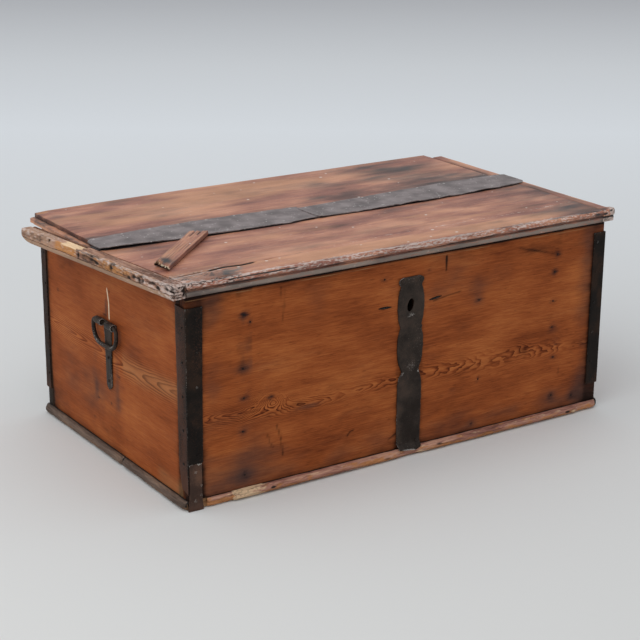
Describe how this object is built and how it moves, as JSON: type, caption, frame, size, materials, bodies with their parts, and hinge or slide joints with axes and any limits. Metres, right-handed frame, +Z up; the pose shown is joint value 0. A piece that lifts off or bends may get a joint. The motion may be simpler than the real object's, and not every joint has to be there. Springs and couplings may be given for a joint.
{
  "type": "folk art chest",
  "caption": "Low iron-bound pine chest with a hinged plank lid, drop handles on its ends and a wrought strap over the lock.",
  "frame": {"origin": "middle of the carcase's footprint, on the floor under the bottom boards", "axes": "+X along the chest's length towards its right end, +Y towards the back, +Z up; the lock side faces -Y"},
  "size_m": [1.2188, 0.6949, 0.4989],
  "materials": {
    "waxed_pine": "worn wax over old stain",
    "raw_pine": "unfinished, dusty",
    "lid_pine": "rubbed and greyed",
    "weathered_pine": "weathered, worm-eaten, traces of grey paint",
    "moulding_pine": "scuffed stain over bare wood",
    "wrought_iron": "blackened, hammered",
    "sheet_iron": "grey rolled sheet with rust",
    "lock_iron": "dark, filed"
  },
  "bodies": {
    "chest": {"front_board": "waxed_pine", "back_board": "waxed_pine", "left_end_board": "waxed_pine", "right_end_board": "waxed_pine", "bottom_board_1": "raw_pine", "bottom_board_2": "raw_pine", "bottom_board_3": "raw_pine", "front_base_moulding": "moulding_pine", "left_base_moulding_front": "moulding_pine", "left_base_moulding_rear": "moulding_pine", "right_base_moulding": "moulding_pine", "front_left_corner_iron": "wrought_iron", "front_right_corner_iron": "wrought_iron", "rear_left_corner_iron": "wrought_iron", "rear_right_corner_iron": "wrought_iron", "front_left_corner_shoe": "wrought_iron", "lock_plate": "wrought_iron", "lock_plate_nail_foot_left": "wrought_iron", "lock_plate_nail_foot_right": "wrought_iron", "lock_plate_nail_top_left": "wrought_iron", "lock_plate_nail_top_right": "wrought_iron", "lock_clenched_nail_left": "wrought_iron", "lock_clenched_nail_right": "wrought_iron", "lock_case": "lock_iron", "left_handle_strap": "wrought_iron", "right_handle_strap": "wrought_iron", "left_handle_nail_upper": "wrought_iron", "left_handle_nail_lower": "wrought_iron", "right_handle_nail_upper": "wrought_iron", "right_handle_nail_lower": "wrought_iron", "left_hinge_leaf": "wrought_iron", "right_hinge_leaf": "wrought_iron", "left_hinge_leaf_nail_upper": "wrought_iron", "left_hinge_leaf_nail_lower": "wrought_iron", "right_hinge_leaf_nail_upper": "wrought_iron", "right_hinge_leaf_nail_lower": "wrought_iron", "left_hinge_pin": "wrought_iron", "right_hinge_pin": "wrought_iron"},
    "lid": {"rear_lid_board": "lid_pine", "front_lid_board": "lid_pine", "right_lid_clamp": "lid_pine", "left_lid_clamp": "weathered_pine", "left_lid_patch": "sheet_iron", "right_lid_patch": "sheet_iron", "broken_clamp_piece": "lid_pine", "lid_staple": "lock_iron", "left_hinge_strap": "wrought_iron", "right_hinge_strap": "wrought_iron", "left_hinge_strap_nail_rear": "wrought_iron", "left_hinge_strap_nail_front": "wrought_iron", "right_hinge_strap_nail_rear": "wrought_iron", "right_hinge_strap_nail_front": "wrought_iron"},
    "left_bail": {"left_bail": "wrought_iron"},
    "right_bail": {"right_bail": "wrought_iron"},
    "lock_bolt": {"lock_bolt": "lock_iron"}
  },
  "joints": [
    {"name": "lid_hinge", "type": "hinge", "parent": "chest", "child": "lid", "pos_m": [0, 0.3409, 0.4575], "axis": [-1, 0, 0], "range_deg": [0, 100]},
    {"name": "left_bail_swing", "type": "hinge", "parent": "chest", "child": "left_bail", "pos_m": [-0.5591, 0.008, 0.308], "axis": [0, 1, 0], "range_deg": [0, 170]},
    {"name": "right_bail_swing", "type": "hinge", "parent": "chest", "child": "right_bail", "pos_m": [0.5591, 0.008, 0.308], "axis": [0, -1, 0], "range_deg": [0, 170]},
    {"name": "bolt_slide", "type": "slide", "parent": "chest", "child": "lock_bolt", "axis": [1, 0, 0], "range_m": [0, 0.015]}
  ]
}
